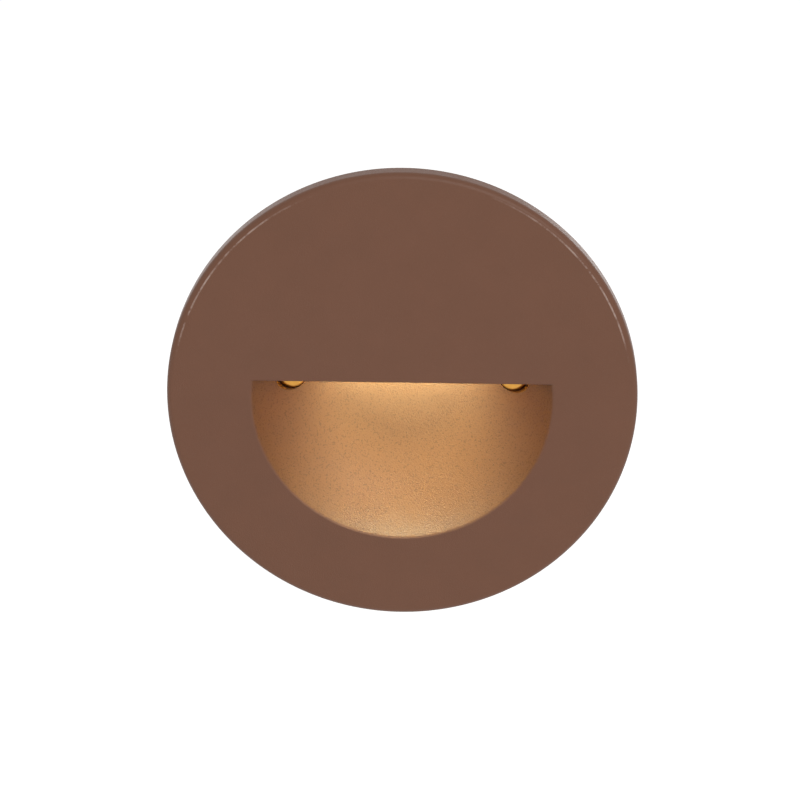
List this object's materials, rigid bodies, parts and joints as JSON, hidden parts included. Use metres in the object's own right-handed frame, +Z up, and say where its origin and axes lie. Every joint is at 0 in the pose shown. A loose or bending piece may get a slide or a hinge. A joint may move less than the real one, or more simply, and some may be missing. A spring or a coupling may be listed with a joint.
{
  "type": "step light",
  "caption": "Round recessed wall step light: thin disc with a half-moon recess under a straight lid that hides a downward-facing row of LEDs, with sealed housing and bracket behind.",
  "frame": {"origin": "on the wall's surface, midway between the two bracket slots that take the wall screws, which is also the centre of the disc", "axes": "+Z up, +Y into the wall, +X to the right of someone who faces the light"},
  "size_m": [0.127, 0.0411, 0.127],
  "materials": {
    "bronze_powder_coat": "textured bronze powder coat on die-cast aluminium",
    "black_foam": "closed-cell foam",
    "zinc_steel": "zinc-plated bent steel",
    "stainless_steel": "stainless screws",
    "silicone": "moulded silicone",
    "frosted_glass": "acid-etched glass strip",
    "white_plastic": "white moulded polycarbonate",
    "board_white": "white solder mask on an aluminium board",
    "board_green": "green solder mask",
    "amber_led": "amber phosphor in a moulded package",
    "heat_pad_grey": "filled silicone sheet",
    "plain_aluminium": "mill-finished sheet",
    "black_plastic": "moulded nylon and epoxy",
    "capacitor_sleeve": "shrink sleeve",
    "ferrite": "pressed ferrite",
    "terminal_green": "moulded terminal body",
    "red_wire": "PVC insulation",
    "black_wire": "PVC insulation",
    "black_rubber": "moulded rubber"
  },
  "bodies": {
    "root": {"front_casting": "bronze_powder_coat", "wall_gasket": "black_foam", "mounting_bracket": "zinc_steel", "bracket_nuts": "zinc_steel", "face_screws": "stainless_steel", "lens_seal": "silicone", "lens": "frosted_glass", "lens_frame": "plain_aluminium", "lens_frame_screws": "stainless_steel", "light_shroud": "white_plastic", "led_board": "board_white", "led_board_screws": "stainless_steel", "leds": "amber_led", "heat_pad": "heat_pad_grey", "led_carrier": "plain_aluminium", "carrier_screws": "stainless_steel", "driver_tray": "black_plastic", "driver_board": "board_green", "driver_screws": "stainless_steel", "smoothing_capacitor": "capacitor_sleeve", "filter_inductor": "ferrite", "bridge_rectifier": "black_plastic", "driver_chip": "black_plastic", "terminal_block": "terminal_green", "terminal_screws": "zinc_steel", "led_lead_positive": "red_wire", "led_lead_negative": "black_wire", "cover_seal": "silicone", "rear_cover": "bronze_powder_coat", "cover_screws": "stainless_steel", "gland_body": "black_plastic", "gland_locknut": "black_plastic", "gland_bush": "black_rubber", "gland_cap": "black_plastic"}
  },
  "joints": []
}
